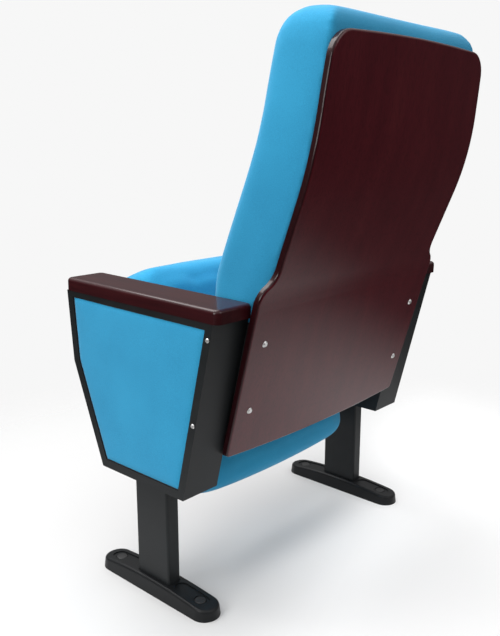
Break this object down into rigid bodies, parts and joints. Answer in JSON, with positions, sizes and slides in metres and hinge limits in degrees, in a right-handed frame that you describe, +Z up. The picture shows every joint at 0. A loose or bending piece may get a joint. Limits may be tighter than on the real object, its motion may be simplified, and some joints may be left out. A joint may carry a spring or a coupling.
{
  "type": "conference chair",
  "caption": "Upholstered tip-up conference chair with a moulded plywood outer back, closed steel arm boxes with fabric panels, wooden armrests and columns on floor feet.",
  "frame": {"origin": "on the floor, midway between the two columns, at the centre of the four floor bolts", "axes": "+X to the sitter's left, +Y to the rear, so that the chair faces -Y, +Z up"},
  "size_m": [0.6996, 0.5468, 1.0556],
  "materials": {
    "black_steel": "black powder coat with a fine texture",
    "fabric": "blue plain-weave upholstery over foam",
    "mahogany": "dark red-brown veneer under gloss lacquer",
    "plywood": "dark-stained plywood",
    "zinc_steel": "zinc plate",
    "bright_screw": "bright nickel plate",
    "nylon": "black nylon",
    "rubber": "black rubber"
  },
  "bodies": {
    "frame": {"left_foot": "black_steel", "left_column": "black_steel", "left_arm_rear": "black_steel", "left_arm_top": "black_steel", "left_arm_front": "black_steel", "left_arm_bottom": "black_steel", "left_arm_cover": "black_steel", "left_panel_board": "plywood", "left_panel_fabric": "fabric", "left_armrest": "mahogany", "left_armrest_screws": "zinc_steel", "left_arm_bolts": "bright_screw", "left_back_bracket": "black_steel", "left_pivot_bearer": "black_steel", "left_pivot_plate": "black_steel", "left_pivot_bolts": "zinc_steel", "left_pivot_pin": "zinc_steel", "left_pivot_clip": "zinc_steel", "right_foot": "black_steel", "right_column": "black_steel", "right_arm_rear": "black_steel", "right_arm_top": "black_steel", "right_arm_front": "black_steel", "right_arm_bottom": "black_steel", "right_arm_cover": "black_steel", "right_panel_board": "plywood", "right_panel_fabric": "fabric", "right_armrest": "mahogany", "right_armrest_screws": "zinc_steel", "right_arm_bolts": "bright_screw", "right_back_bracket": "black_steel", "right_pivot_bearer": "black_steel", "right_pivot_plate": "black_steel", "right_pivot_bolts": "zinc_steel", "right_pivot_pin": "zinc_steel", "right_pivot_clip": "zinc_steel", "back_panel": "mahogany", "back_board": "plywood", "back_screws": "bright_screw", "back_spacers": "nylon", "back_pad": "fabric"},
    "seat": {"left_pivot_bush": "nylon", "left_seat_rail": "black_steel", "left_stop_pin": "zinc_steel", "left_stop_sleeve": "rubber", "right_pivot_bush": "nylon", "right_seat_rail": "black_steel", "right_stop_pin": "zinc_steel", "right_stop_sleeve": "rubber", "seat_pad": "fabric", "seat_board": "plywood", "seat_pan": "mahogany", "counterweight": "black_steel", "seat_front_bar": "black_steel", "seat_board_screws": "zinc_steel", "seat_pan_screws": "zinc_steel"}
  },
  "joints": [
    {"name": "seat_tip", "type": "hinge", "parent": "frame", "child": "seat", "pos_m": [0, -0.092, 0.338], "axis": [1, 0, 0], "range_deg": [0, 65]}
  ]
}
